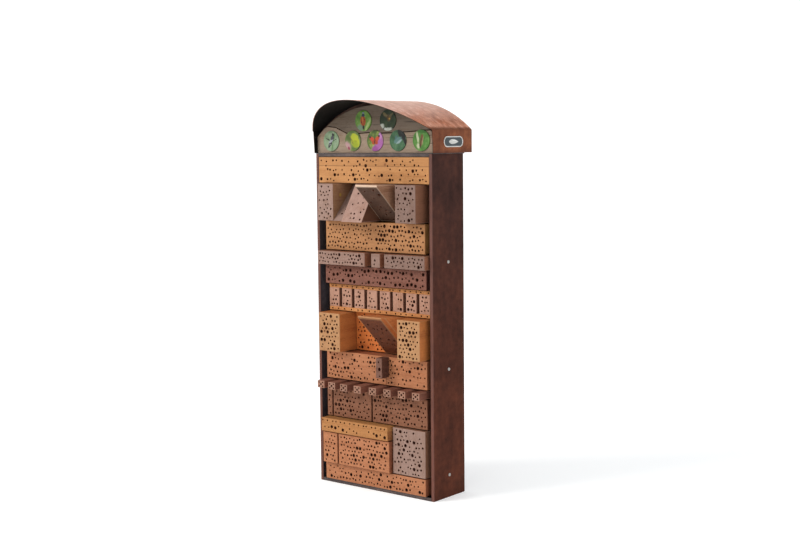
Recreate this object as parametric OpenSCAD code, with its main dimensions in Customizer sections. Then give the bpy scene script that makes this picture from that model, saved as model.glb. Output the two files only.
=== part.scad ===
// Insect hotel: a folded corten case, a stack of drilled wooden nest blocks
// fixed to a backboard, and a lift-off arched roof cap with a wooden gable.
// Millimetres, +Z up, origin at the centre of the case's footprint, front at -Y.

/* [Case] */
// Outside width of the steel case
case_w = 400; // [395:1:500]
// Outside depth of the steel case
case_d = 144; // [125:1:180]
// Thickness of the case sheet
sheet = 2.5; // [2:0.5:3]
// Width of the lips folded inwards at the two front edges
lip_w = 8; // [5:0.5:12]
// Outside radius of the two rear folds
fold_r = 9; // [5:0.5:12]
// Height of the front edge of the base tray and of the top tray
tray_edge = 9; // [6:0.5:14]
// Thickness of the wooden backboard
board_t = 12; // [9:0.5:18]
// Width of the open gap between the stack and each side wall
side_gap = 21.5; // [18:0.5:28]
// Depth of the upright battens that fill the side gaps at the back
batten_d = 70; // [62:1:75]
// Shank diameter of the side screws
screw_d = 4; // [3:0.5:5]
// Distance of the side screws behind the front of the battens
screw_in = 9.5; // [8:0.5:30]
// Drop from one side screw to the next
screw_step = 286; // [200:1:290]

/* [Nest bores] */
// Diameter of the small bores
small_d = 4.8; // [3:0.1:5]
// Diameter of the middle bores
mid_d = 6.2; // [5:0.1:7]
// Diameter of the large bores
large_d = 9.4; // [8:0.1:10]
// Depth of the bores
bore_depth = 46; // [25:1:60]
// Spacing of the bores
bore_pitch = 11; // [11:0.1:14]
// Least wood left between two bores and beside them
bore_wall = 1.2; // [1:0.1:2]
// Width of the undrilled rim of a block
rim = 3; // [2:0.5:6]
// Width of the broken edges of the blocks
arris = 1; // [0.5:0.1:2]

/* [Row heights] */
// Joint between two rows
seam = 3; // [1:0.5:5]
// Header board
header_h = 70; // [60:1:90]
// Row with the ramps
ramp_row_h = 100; // [85:1:120]
// Upper plain board
upper_h = 79; // [65:1:95]
// Row of three short bars
bars_h = 37; // [30:1:45]
// Middle plain board
middle_h = 51; // [42:1:62]
// Comb of small blocks between two slats
comb_h = 53; // [44:1:64]
// Thickness of the two slats of the comb
slat_h = 10; // [8:0.5:12]
// Row with the canopy wedge
wedge_row_h = 106; // [88:1:127]
// Row of two panels and a square block
panels_h = 77; // [64:1:92]
// Square sticks
stick_h = 20; // [17:1:24]
// Row of three lower panels
lower_h = 81; // [68:1:97]
// Thin slat on the ledge
ledge_slat_h = 12; // [10:0.5:15]
// Beam under the ledge's slat
ledge_beam_h = 25; // [20:1:30]
// Row under the ledge
under_h = 86; // [70:1:105]
// Foot board
foot_h = 46; // [38:1:55]

/* [Blocks across] */
// Left block of the ramp row
ramp_left_w = 55.5; // [45:0.5:58]
// Narrow ramp beside it
ramp_a_w = 48; // [40:1:50]
// Wide ramp
ramp_b_w = 70; // [58:1:72]
// Canopy wedge of the ramp row
wedge_a_w = 72; // [60:1:80]
// Right block of the ramp row
ramp_right_w = 67.5; // [56:0.5:72]
// Setback of the ramp row from the two ends of the stack
ramp_inset = 6.5; // [4:0.5:8]
// Side joint between neighbouring blocks
side_seam = 1; // [0.5:0.5:2]
// Setback of the upper board from the two ends of the stack
upper_inset = 3.5; // [1:0.5:6]
// Clearance between the ends of the long bars and the case's lips
bar_end_gap = 6; // [4:0.5:9]
// Left bar
bar_left_w = 169; // [140:1:179]
// Short bar
bar_mid_w = 30; // [24:1:36]
// Distance of the short bar right of the left bar
bar_mid_gap = 23; // [10:1:30]
// Right bar
bar_right_w = 135; // [110:1:144]
// Number of comb blocks
comb_count = 8; // [6:1:9]
// Width of a comb block
comb_w = 35.6; // [28:0.1:36]
// Outer blocks of the canopy row
wedge_side_w = 75.5; // [62:0.5:85]
// Canopy wedge of the canopy row
wedge_b_w = 80; // [66:1:88]
// How far that wedge leans to the left from its back to its nose
wedge_b_skew = 46; // [38:1:50]
// Space between that wedge and the right block
wedge_b_gap = 9.5; // [5:0.5:16]
// Left panel of the panel row
panel_left_w = 212.5; // [180:0.5:245]
// Square block over the joint of the two panels
square_w = 21; // [17:1:26]
// Height of the square block
square_h = 54.5; // [45:0.5:62]
// Number of sticks
stick_count = 8; // [6:1:9]
// Width of a stick
stick_w = 25; // [20:1:30]
// How far the left sticks stand off an even spacing
stick_drift = 5; // [0:0.5:6]
// Narrow strip of the lower row
strip_w = 17; // [14:1:20]
// Left panel of the lower row
lower_left_w = 137; // [114:1:165]
// Joint beside the lower panels
lower_gap = 5; // [3:1:8]
// Length of the ledge
ledge_w = 237; // [200:1:280]
// Left block under the ledge
under_left_w = 52; // [43:1:62]

/* [Blocks in depth] */
// How far the boards set back behind the case's front edge
set_back = 5; // [0:0.5:10]
// How far the ramp row stands out
ramp_out = 31; // [20:1:40]
// How far the foot of the wide ramp stands out
ramp_b_out = 55; // [45:1:66]
// How far the top of the narrow ramp lies behind the case's front edge
ramp_a_top = 59; // [50:1:70]
// How far the top of the wide ramp lies behind the case's front edge
ramp_b_top = 7; // [2:1:12]
// How far the nose of the ramp row's wedge stands out
nose_out = 77; // [62:1:92]
// How far the nose of the canopy row's wedge stands out
nose_b_out = 25; // [18:1:32]
// Height of the blunt nose of a canopy wedge
nose_h = 5; // [3:0.5:8]
// How far the foot of the ramp row's wedge lies behind the front edge
wedge_a_foot = 28; // [20:1:40]
// How far the bars stand out
bars_out = 16; // [8:1:24]
// How far the comb is set back
comb_back = 20; // [14:1:24]
// How far the outer blocks of the canopy row stand out
wedge_side_out = 26; // [18:1:34]
// How far the panel behind the canopy is set back
bay_back = 44; // [36:1:52]
// Thickness of the board on the canopy wedge's underside
facing_t = 10; // [8:0.5:12]
// How far the square block stands out
square_out = 26; // [16:1:34]
// How far the sticks stand out
stick_out = 36; // [24:1:44]
// How much longer or shorter than that a stick may be
stick_vary = 7; // [0:0.5:8]
// How far the ledge stands out
ledge_out = 22; // [14:1:30]
// How far the blocks under the ledge stand out
under_out = 16; // [10:1:21]

/* [Roof cap] */
// Thickness of the roof sheet
roof_t = 2; // [1.5:0.5:3]
// How far the roof's sides stand out past the case's walls
roof_side = 6.3; // [5:0.1:10]
// Height of the roof's vertical flanges
flange_h = 60; // [50:1:72]
// Rise of the arch above its folds
arch_rise = 80; // [70:1:99]
// How far the visor reaches out past the case at its crown
visor_out = 113; // [94:1:135]
// How far the visor stands out at the folds
visor_fold = 4; // [2:0.5:8]
// How far the roof reaches past the back of the case
rear_out = 25; // [20:1:32]
// Clearance between the roof cap and the case
cap_gap = 0.3; // [0.2:0.1:0.5]
// Setback of the wooden gable behind the case's front edge
gable_back = 11; // [8:1:16]
// Thickness of the gable's boards
gable_t = 16; // [12:1:20]
// Distance of the gable's boards below the roof sheet
gable_drop = 11; // [8:1:14]
// Width of the crack between the two boards
crack_w = 2.6; // [1:0.2:3]
// Height of the crack above the roof line
crack_z = 54; // [50:1:58]
// Rise of the crack's bend near its left end
crack_bend = 19; // [10:1:24]
// Diameter of the picture discs
disc_d = 55.5; // [46:0.5:58]
// Thickness of the picture discs
disc_t = 2.5; // [2:0.5:4]
// Spacing of the lower discs
disc_pitch = 78; // [66:1:80]
// Height of the lower discs' centres
disc_low = 33; // [31:1:34]
// Height of the upper discs' centres
disc_high = 86.6; // [84:0.2:92]
// Spacing of the two upper discs
disc_high_pitch = 85; // [60:1:90]
// Offset of the lower discs to the right
disc_low_x = 4; // [0:0.5:6]
// Offset of the upper discs to the right
disc_high_x = 6; // [0:0.5:8]
// Length of the badge on the right flange
badge_w = 83; // [70:1:99]
// Height of the badge
badge_h = 28; // [23:1:33]
// Thickness of the badge
badge_t = 1.6; // [1.2:0.2:3]
// Distance of the badge's centre behind the case's front edge
badge_y = 86; // [70:1:100]
// Height of the badge's centre above the roof line
badge_z = 29; // [26:1:32]

/* [Hidden] */
$fn = 48;
eps = 1;                                  // overrun of a cutting tool
front_y = -case_d / 2;
back_y = case_d / 2;
board_y = back_y - sheet - board_t;       // front face of the backboard
stack_w = case_w - 2 * (sheet + side_gap);
left_x = -stack_w / 2;
right_x = stack_w / 2;
inner_w = case_w - 2 * sheet;
comb_row_h = comb_h + 2 * slat_h;
ledge_h = ledge_slat_h + ledge_beam_h;

// Bottom height of each row, worked out from the foot upwards
foot_z = tray_edge + seam / 2;
under_z = foot_z + foot_h + seam;
ledge_z = under_z + under_h + seam;
lower_z = ledge_z + ledge_h + seam;
stick_z = lower_z + lower_h + seam;
panels_z = stick_z + stick_h + seam;
wedge_z = panels_z + panels_h + seam;
comb_z = wedge_z + wedge_row_h + seam;
middle_z = comb_z + comb_row_h + seam;
bars_z = middle_z + middle_h + seam;
upper_z = bars_z + bars_h + seam;
ramp_z = upper_z + upper_h + seam;
header_z = ramp_z + ramp_row_h + seam / 2;
roof_z = header_z + header_h + seam / 2 + tray_edge;   // roof line: top of the top tray

roof_half = case_w / 2 + roof_side;
arch_r = (roof_half * roof_half + arch_rise * arch_rise) / (2 * arch_rise);
arch_z = flange_h + arch_rise - arch_r;    // height of the arch's centre above the roof line
roof_back_y = back_y + rear_out;
gable_y = front_y + gable_back;
rear_gable_y = back_y - sheet;
screw_y = board_y - batten_d + screw_in;
screw_head_d = screw_d * 2.1;
screw_head_t = screw_d * 0.55;
screw_len = 20;
screw_fit = 0.1;

HONEY = "burlywood";
GREY = "rosybrown";
RED = "indianred";
PINK = "tan";
ORANGE = "sandybrown";
RUST = "saddlebrown";

// ---- shared shapes -------------------------------------------------------------

// Bores over a face w wide and h high: each hole keeps to a cell of its own in a
// brick pattern, so two holes never meet. Gives [across, up, diameter].
function bores(w, h, seed, large = 0.12, middle = 0.25, skip = 0.08, pitch = bore_pitch) =
    let (nx = max(1, floor((w - 2 * rim) / pitch)),
         nz = max(1, floor((h - 2 * rim) / pitch)),
         px = (w - 2 * rim) / nx,
         pz = (h - 2 * rim) / nz,
         room = min(px, pz) - bore_wall,
         r = rands(0, 1, 4 * nx * nz, seed))
    [for (k = [0:nz - 1], i = [0:nx - 1 - (nx > 1 ? k % 2 : 0)])
        let (n = 4 * (k * nx + i),
             pick = r[n],
             want = pick < large ? large_d : pick < large + middle ? mid_d : small_d,
             d = min(want, room),
             jx = (px - bore_wall - d) / 2,
             jz = (pz - bore_wall - d) / 2)
        if (r[n + 1] >= skip)
            [rim + px * (i + 0.5 + (nx > 1 ? k % 2 : 0) / 2) + jx * (2 * r[n + 2] - 1),
             rim + pz * (k + 0.5) + jz * (2 * r[n + 3] - 1),
             d]];

// One line of equal bores along the middle of a slat.
function bore_line(w, h, count, d, seed) =
    let (step = w / count, r = rands(-0.25, 0.25, count, seed))
    [for (i = [0:count - 1]) [step * (i + 0.5 + r[i]), h / 2, d]];

// Drills the listed bores into a face in the X-Z plane, towards +Y.
module drill(list, depth = bore_depth) {
    for (b = list)
        translate([b[0], -eps, b[1]])
            rotate([-90, 0, 0])
                cylinder(d = b[2], h = depth + eps, $fn = 24);
}

// Outline of a rectangle with its corners cut off at 45 degrees.
module cut_corners(a, b) {
    polygon([[arris, 0], [a - arris, 0], [a, arris], [a, b - arris],
             [a - arris, b], [arris, b], [0, b - arris], [0, arris]]);
}

// Block with all twelve arrises broken; its corner is at the origin.
module eased_block(w, d, h) {
    intersection() {
        linear_extrude(h) cut_corners(w, d);
        translate([0, d, 0]) rotate([90, 0, 0]) linear_extrude(d) cut_corners(w, h);
        rotate([90, 0, 90]) linear_extrude(w) cut_corners(d, h);
    }
}

// Nest block: its face stands `out` ahead of the case's front edge and its back
// meets the backboard.
module nest_block(x, w, z, h, out, list) {
    translate([x, front_y - out, z])
        difference() {
            eased_block(w, board_y - front_y + out, h);
            drill(list);
        }
}

// Nest block that may be wider than the stack: it narrows to the stack where it
// passes between the battens.
module wide_block(x, w, z, h, out, list) {
    d = board_y - batten_d - side_seam - front_y + out;
    near = max(x, left_x);
    far = min(x + w, right_x);
    translate([x, front_y - out, z])
        difference() {
            union() {
                eased_block(w, d, h);
                translate([near - x, d - 2 * arris, 0])
                    eased_block(far - near, board_y - front_y + out - d + 2 * arris, h);
            }
            drill(list);
        }
}

// Prism w wide along X, from an outline of [y, z] points.
module side_prism(w, outline) {
    rotate([90, 0, 90]) linear_extrude(w) polygon(outline);
}

// Drills a sloping face that rises from `low` to `high`, both [y, z].
module drill_slope(low, high, list, depth = bore_depth) {
    translate([0, low[0], low[1]])
        rotate([atan2(high[1] - low[1], high[0] - low[0]) - 90, 0, 0])
            drill(list, depth);
}

function span(a, b) = norm([b[0] - a[0], b[1] - a[1]]);

// ---- case ----------------------------------------------------------------------

// Plan of the case at a given inset: square front corners, round rear ones.
module case_plan(inset) {
    r = fold_r - inset;
    x = case_w / 2 - inset;
    y = back_y - inset;
    difference() {
        translate([-x, front_y]) square([2 * x, y - front_y]);
        for (s = [-1, 1])
            translate([s * (x - r / 2), y - r / 2]) square([r + 2 * sheet, r], center = true);
    }
    for (s = [-1, 1])
        translate([s * (x - r), y - r]) circle(r);
    translate([-x + r, y - 2 * r]) square([2 * (x - r), 2 * r]);
}

// Side walls and back, one sheet folded to a U with a lip at each front edge
module case_shell() {
    h = roof_z - sheet;
    color(RUST) difference() {
        union() {
            difference() {
                linear_extrude(h) case_plan(0);
                translate([0, 0, -eps]) linear_extrude(h + 2 * eps) case_plan(sheet);
                translate([-inner_w / 2, front_y - eps, -eps]) cube([inner_w, sheet + 2 * eps, h + 2 * eps]);
            }
            for (s = [0, 1]) mirror([s, 0, 0])
                translate([inner_w / 2 + sheet - lip_w, front_y, 0]) cube([lip_w, sheet, h]);
        }
        side_screw_places() cylinder(d = screw_d + 1, h = 4 * sheet, center = true);
    }
}

// Positions of the side screws, their heads turned outwards
module side_screw_places() {
    for (s = [-1, 1], k = [1:3])
        translate([s * case_w / 2, screw_y, roof_z - k * screw_step])
            rotate([0, s * 90, 0]) children();
}

// Pan-head screws through the side walls into the battens
module side_screws() {
    color("silver") side_screw_places() {
        cylinder(d = screw_head_d, h = screw_head_t);
        translate([0, 0, screw_fit - screw_len]) cylinder(d = screw_d, h = screw_len);
    }
}

// Timber board that carries the whole stack
module backboard() {
    color(HONEY)
        translate([-inner_w / 2 + fold_r, board_y, sheet])
            cube([inner_w - 2 * fold_r, board_t, roof_z - 2 * sheet]);
}

// Steel tray at the foot: a floor with a low front edge between the lips
module base_tray() {
    w = case_w - 2 * lip_w - side_seam;
    color(RUST) {
        translate([-w / 2, front_y, 0]) cube([w, case_d - sheet - side_seam, sheet]);
        translate([-w / 2, front_y, 0]) cube([w, sheet, tray_edge]);
    }
}

// Steel tray on top: closes the case and carries the roof cap
module top_tray() {
    w = case_w - 2 * lip_w - side_seam;
    color(RUST) {
        translate([-case_w / 2, front_y, roof_z - sheet]) cube([case_w, case_d, sheet]);
        translate([-w / 2, front_y, roof_z - tray_edge]) cube([w, sheet, tray_edge]);
    }
}

// Upright battens between the stack and the side walls, at the back
module battens() {
    w = side_gap - side_seam;
    color(HONEY) difference() {
        for (s = [0, 1]) mirror([s, 0, 0])
            translate([inner_w / 2 - w, board_y - batten_d, sheet])
                cube([w, batten_d, roof_z - 2 * sheet]);
        side_screw_places()
            translate([0, 0, -screw_len - eps]) cylinder(d = screw_d + 2 * screw_fit, h = screw_len + 2 * eps);
    }
}

// ---- header and ramp row -------------------------------------------------------

module header_board() {
    w = case_w - 2 * (lip_w + side_seam);
    color(HONEY) wide_block(-w / 2, w, header_z, header_h, 0,
        bores(w, header_h, 11, large = 0.07, middle = 0.2, skip = 0.48));
}

module ramp_block_left() {
    color(GREY) nest_block(left_x + ramp_inset, ramp_left_w, ramp_z, ramp_row_h, ramp_out,
        bores(ramp_left_w, ramp_row_h, 21, large = 0.04, middle = 0.3, skip = 0.04));
}

module ramp_block_right() {
    color(GREY) nest_block(right_x - ramp_inset - ramp_right_w, ramp_right_w, ramp_z, ramp_row_h, ramp_out,
        bores(ramp_right_w, ramp_row_h, 22, large = 0.14, middle = 0.3, skip = 0.1, pitch = 12));
}

// Block sawn to a slope that rises from its foot back to its top
module ramp(x, w, foot_out, top_back, list) {
    foot = [front_y - foot_out, ramp_z];
    top = [front_y + top_back, ramp_z + ramp_row_h];
    translate([x, 0, 0]) difference() {
        side_prism(w, [foot, top, [board_y, top[1]], [board_y, foot[1]]]);
        drill_slope(foot, top, list);
    }
}

module ramp_narrow() {
    x = left_x + ramp_inset + ramp_left_w + side_seam;
    length = span([ramp_out, 0], [-ramp_a_top, ramp_row_h]);
    color(GREY) ramp(x, ramp_a_w, ramp_out, ramp_a_top,
        bores(ramp_a_w, length, 23, large = 0.0, middle = 0.5, skip = 0.45, pitch = 14));
}

module ramp_wide() {
    x = left_x + ramp_inset + ramp_left_w + ramp_a_w + 2 * side_seam;
    length = span([ramp_b_out, 0], [-ramp_b_top, ramp_row_h]);
    color(GREY) ramp(x, ramp_b_w, ramp_b_out, ramp_b_top,
        bores(ramp_b_w, length, 24, large = 0.16, middle = 0.3, skip = 0.3, pitch = 15));
}

// Block sawn the other way, so that its nose overhangs and its underside is drilled
module ramp_canopy() {
    x = left_x + ramp_inset + ramp_left_w + ramp_a_w + ramp_b_w + 3 * side_seam;
    top = ramp_z + ramp_row_h;
    nose = [front_y - nose_out, top - nose_h];
    foot = [front_y + wedge_a_foot, ramp_z];
    length = span(foot, nose);
    color(GREY) translate([x, 0, 0]) difference() {
        side_prism(wedge_a_w, [[nose[0], top], nose, foot, [board_y, foot[1]], [board_y, top]]);
        drill_slope(foot, nose,
            bores(wedge_a_w, length - 2 * rim, 25, large = 0.08, middle = 0.4, skip = 0.55, pitch = 15));
    }
}

// ---- upper board, bars, middle board -------------------------------------------

module upper_board() {
    w = stack_w - 2 * upper_inset;
    color(HONEY) nest_block(-w / 2, w, upper_z, upper_h, -set_back,
        concat(bores(w / 2, upper_h, 31, large = 0.0, middle = 0.3, skip = 0.05),
               [for (b = bores(w / 2, upper_h, 32, large = 0.2, middle = 0.35, skip = 0.08))
                   [b[0] + w / 2, b[1], b[2]]]));
}

bar_end = case_w / 2 - lip_w - bar_end_gap;

module bar_left() {
    color(GREY) wide_block(-bar_end, bar_left_w, bars_z, bars_h, bars_out,
        bores(bar_left_w, bars_h, 41, large = 0.12, middle = 0.3, skip = 0.25, pitch = 10));
}

module bar_short() {
    color(GREY) nest_block(bar_left_w + bar_mid_gap - bar_end, bar_mid_w, bars_z, bars_h, bars_out,
        bores(bar_mid_w, bars_h, 42, large = 0.12, middle = 0.4, skip = 0.1, pitch = 10));
}

module bar_right() {
    color(GREY) wide_block(bar_end - bar_right_w, bar_right_w, bars_z, bars_h, bars_out,
        bores(bar_right_w, bars_h, 43, large = 0.16, middle = 0.3, skip = 0.25, pitch = 10));
}

module middle_board() {
    color(RED) nest_block(left_x, stack_w, middle_z, middle_h, -set_back,
        bores(stack_w, middle_h, 51, large = 0.42, middle = 0.2, skip = 0.08, pitch = 13));
}

// ---- comb of small blocks ------------------------------------------------------

module comb_slat_top() {
    color(ORANGE) nest_block(left_x, stack_w, comb_z + slat_h + comb_h, slat_h, -comb_back,
        bore_line(stack_w, slat_h, 19, small_d, 61));
}

module comb_slat_bottom() {
    color(ORANGE) nest_block(left_x, stack_w, comb_z, slat_h, -comb_back,
        bore_line(stack_w, slat_h, 16, small_d, 62));
}

module comb_block(i) {
    step = (stack_w - comb_w) / (comb_count - 1);
    color(PINK) nest_block(left_x + step * (i - 1), comb_w, comb_z + slat_h, comb_h, -comb_back,
        bores(comb_w, comb_h, 70 + i, large = 0.12, middle = 0.3, skip = 0.08, pitch = 9.6));
}

// ---- canopy row ----------------------------------------------------------------

module canopy_block_left() {
    color(HONEY) nest_block(left_x, wedge_side_w, wedge_z, wedge_row_h, wedge_side_out,
        bores(wedge_side_w, wedge_row_h, 81, large = 0.16, middle = 0.2, skip = 0.08));
}

module canopy_block_right() {
    color(HONEY) nest_block(right_x - wedge_side_w, wedge_side_w, wedge_z, wedge_row_h, wedge_side_out,
        bores(wedge_side_w, wedge_row_h, 82, large = 0.18, middle = 0.2, skip = 0.08));
}

// Board at the back of the bay between the two outer blocks
module canopy_panel() {
    w = stack_w - 2 * wedge_side_w - 2 * side_seam;
    color(ORANGE) nest_block(-w / 2, w, wedge_z, wedge_row_h, -bay_back,
        bores(w, wedge_row_h, 83, large = 0.08, middle = 0.3, skip = 0.3));
}

// The wedge's plan is a parallelogram: its left end at the nose, and its slant
wedge_b_x = right_x - wedge_side_w - wedge_b_gap - wedge_b_skew - wedge_b_w;
wedge_b_top = wedge_z + wedge_row_h;
wedge_b_rear = front_y + bay_back;
wedge_b_nose = [front_y - nose_b_out, wedge_b_top - nose_h];
wedge_b_foot = [wedge_b_rear - 4, wedge_z];
wedge_b_slant = wedge_b_skew / (wedge_b_rear - wedge_b_nose[0]);
// Run of the underside in Y for each millimetre up, and the facing's width in Y
wedge_b_run = (wedge_b_nose[0] - wedge_b_foot[0]) / (wedge_b_nose[1] - wedge_b_foot[1]);
facing_run = facing_t * sqrt(1 + wedge_b_run * wedge_b_run);
facing_top_y = wedge_b_foot[0] + wedge_b_run * wedge_row_h + facing_run;
facing_rear_z = wedge_b_top + (wedge_b_rear - facing_top_y) / wedge_b_run;

// Cuts an outline of [y, z] points to the wedge's plan
module slanted_prism(outline) {
    intersection() {
        translate([wedge_b_x, 0, 0]) side_prism(wedge_b_w + wedge_b_skew, outline);
        translate([wedge_b_x, 0, wedge_z - eps]) linear_extrude(wedge_row_h + 2 * eps)
            polygon([[0, wedge_b_nose[0]], [wedge_b_w, wedge_b_nose[0]],
                     [wedge_b_w + wedge_b_skew, wedge_b_rear], [wedge_b_skew, wedge_b_rear]]);
    }
}

// Wedge that hangs over the bay, against the board at its back
module canopy_wedge() {
    color(ORANGE) slanted_prism([[facing_top_y, wedge_b_top], [wedge_b_rear, facing_rear_z],
                                 [wedge_b_rear, wedge_b_top]]);
}

// Drilled board on the wedge's sloping underside
module canopy_facing() {
    length = span(wedge_b_foot, wedge_b_nose);
    reach = wedge_b_foot[0] - wedge_b_nose[0];
    color(ORANGE) difference() {
        slanted_prism([wedge_b_foot, wedge_b_nose, [wedge_b_nose[0], wedge_b_top],
                       [facing_top_y, wedge_b_top], [wedge_b_rear, facing_rear_z],
                       [wedge_b_rear, wedge_z]]);
        translate([wedge_b_x, 0, 0]) drill_slope(wedge_b_foot, wedge_b_nose,
            [for (b = bores(wedge_b_w, length - 2 * facing_t, 84,
                            large = 0.05, middle = 0.4, skip = 0.3, pitch = 14))
                [b[0] + wedge_b_slant * reach * (1 - (b[1] + facing_t) / length), b[1] + facing_t, b[2]]],
            facing_t - 2);
    }
}

// ---- panel row, sticks, lower row ----------------------------------------------

module panel_left() {
    color(ORANGE) nest_block(left_x, panel_left_w, panels_z, panels_h, -set_back,
        bores(panel_left_w, panels_h, 91, large = 0.1, middle = 0.3, skip = 0.3));
}

module panel_right() {
    x = left_x + panel_left_w + side_seam;
    color(ORANGE) nest_block(x, right_x - x, panels_z, panels_h, -set_back,
        bores(right_x - x, panels_h, 93, large = 0.12, middle = 0.3, skip = 0.25));
}

// Block on the faces of the two panels, over their joint
module panel_square() {
    x = left_x + panel_left_w + (side_seam - square_w) / 2;
    color(RED) translate([x, front_y - square_out, panels_z + panels_h - square_h]) difference() {
        eased_block(square_w, square_out + set_back, square_h);
        drill(bores(square_w, square_h, 92, large = 0.3, middle = 0.4, skip = 0.1, pitch = 13),
              square_out - 4);
    }
}

// Square stick with a hole in its middle and a small one towards each corner
module stick(i) {
    step = (stack_w - stick_w) / (stick_count - 1);
    drift = stick_drift * max(0, sin((i - 1) * 45));
    out = stick_out + stick_vary * sin((i - 1) * 40);
    side = stick_w * 0.24;
    foot = stick_h * 0.24;
    color(RED) nest_block(left_x + step * (i - 1) - drift, stick_w, stick_z, stick_h, out,
        [[stick_w / 2, stick_h / 2, mid_d], [side, foot, small_d], [stick_w - side, foot, small_d],
         [side, stick_h - foot, small_d], [stick_w - side, stick_h - foot, small_d]]);
}

module lower_strip() {
    color(PINK) nest_block(left_x, strip_w, lower_z, lower_h, -set_back,
        bores(strip_w, lower_h, 101, large = 0.0, middle = 0.5, skip = 0.15, pitch = 14));
}

module lower_panel_left() {
    color(PINK) nest_block(left_x + strip_w + lower_gap, lower_left_w, lower_z, lower_h, -set_back,
        bores(lower_left_w, lower_h, 102, large = 0.12, middle = 0.3, skip = 0.1));
}

module lower_panel_right() {
    x = left_x + strip_w + lower_left_w + 2 * lower_gap;
    color(PINK) nest_block(x, right_x - x, lower_z, lower_h, -set_back,
        bores(right_x - x, lower_h, 103, large = 0.12, middle = 0.3, skip = 0.1));
}

// ---- ledge and what stands under it --------------------------------------------

module ledge_slat() {
    color(HONEY) nest_block(left_x, ledge_w, ledge_z + ledge_beam_h, ledge_slat_h, ledge_out,
        bore_line(ledge_w, ledge_slat_h, 15, small_d, 111));
}

module ledge_beam() {
    color(HONEY) nest_block(left_x, ledge_w, ledge_z, ledge_beam_h, ledge_out,
        bores(ledge_w, ledge_beam_h, 112, large = 0.3, middle = 0.3, skip = 0.25, pitch = 13));
}

module standing_block() {
    x = left_x + ledge_w + lower_gap;
    h = under_h + seam + ledge_h;
    color(GREY) nest_block(x, right_x - x, under_z, h, set_back,
        bores(right_x - x, h, 113, large = 0.15, middle = 0.3, skip = 0.2));
}

module under_block() {
    color(HONEY) nest_block(left_x, under_left_w, under_z, under_h, under_out,
        bores(under_left_w, under_h, 121, large = 0.12, middle = 0.3, skip = 0.15));
}

module under_panel() {
    x = left_x + under_left_w + lower_gap;
    w = ledge_w - under_left_w - lower_gap;
    color(ORANGE) nest_block(x, w, under_z, under_h, under_out,
        bores(w, under_h, 122, large = 0.15, middle = 0.3, skip = 0.12));
}

module foot_board() {
    color(HONEY) nest_block(left_x, stack_w, foot_z, foot_h, set_back,
        bores(stack_w, foot_h, 131, large = 0.15, middle = 0.3, skip = 0.25));
}

// ---- roof cap ------------------------------------------------------------------

// Solid arch section in the X-Z plane above the roof line, at a given inset: a wide
// circle cut off at both flanges
module arch_section(inset) {
    half = roof_half - inset;
    intersection() {
        translate([0, arch_z]) circle(arch_r - inset, $fn = 180);
        translate([-half, 0]) square([2 * half, flange_h + arch_rise + 2 * eps]);
    }
}

// Extrudes an outline in the X-Z plane from y0 back to y1, above the roof line
module across(y0, y1) {
    translate([0, y1, roof_z]) rotate([90, 0, 0]) linear_extrude(y1 - y0) children();
}

// Arched sheet with a flange down each side; its front edge slopes out to a visor
module roof_shell() {
    reach = front_y - visor_out - 2 * eps;
    crown = flange_h + arch_rise;
    knee = flange_h - roof_t;              // the cut bends just below the fold
    lean = (visor_out - visor_fold) / (crown - knee);
    over = 20;                             // the cut runs on past the crown and the flanges
    color(RUST) difference() {
        across(reach, roof_back_y) arch_section(0);
        across(reach - eps, roof_back_y + eps) {
            arch_section(roof_t);
            translate([-roof_half + roof_t, -eps]) square([2 * (roof_half - roof_t), 2 * eps]);
        }
        translate([-case_w, 0, roof_z]) side_prism(2 * case_w,
            [[reach - over, -over], [front_y, -over], [front_y, 0], [front_y - visor_fold, knee],
             [front_y - visor_out - lean * over, crown + over], [reach - lean * over - over, crown + over]]);
    }
}

// Steel plate behind the boards: closes the arch and stands on the top tray
module gable_plate(y) {
    across(y, y + roof_t) difference() {
        arch_section(roof_t);
        translate([-roof_half, -eps]) square([2 * roof_half, cap_gap + eps]);
    }
}

module front_gable() {
    color(RUST) gable_plate(gable_y + gable_t);
}

module rear_gable() {
    color(RUST) gable_plate(rear_gable_y);
}

// Line of the crack, left to right: [share of the roof's half width, height]
crack_line = [[-1.1, crack_z + crack_bend * 0.2], [-0.98, crack_z + crack_bend * 0.37],
              [-0.88, crack_z + crack_bend * 0.75], [-0.8, crack_z + crack_bend],
              [-0.66, crack_z + crack_bend * 0.83], [-0.57, crack_z + crack_bend * 0.4],
              [-0.48, crack_z], [-0.3, crack_z - 1.4], [-0.1, crack_z + 0.6], [0.12, crack_z - 0.8],
              [0.3, crack_z + 0.5], [0.55, crack_z + 1.6], [0.76, crack_z + 4], [0.94, crack_z + 6.4],
              [1.1, crack_z + 7]];

// Outline of the wooden gable
module gable_outline() {
    half = roof_half - roof_t - side_seam;
    intersection() {
        translate([0, arch_z]) circle(arch_r - roof_t - gable_drop, $fn = 180);
        translate([-half, side_seam]) square([2 * half, flange_h + arch_rise]);
    }
}

module gable_board_upper() {
    top = flange_h + arch_rise;
    color(GREY) across(gable_y, gable_y + gable_t) intersection() {
        gable_outline();
        polygon(concat([for (p = crack_line) [p[0] * roof_half, p[1] + crack_w / 2]],
                       [[1.1 * roof_half, top], [-1.1 * roof_half, top]]));
    }
}

module gable_board_lower() {
    color(GREY) across(gable_y, gable_y + gable_t) intersection() {
        gable_outline();
        polygon(concat([for (p = crack_line) [p[0] * roof_half, p[1] - crack_w / 2]],
                       [[1.1 * roof_half, -eps], [-1.1 * roof_half, -eps]]));
    }
}

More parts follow.
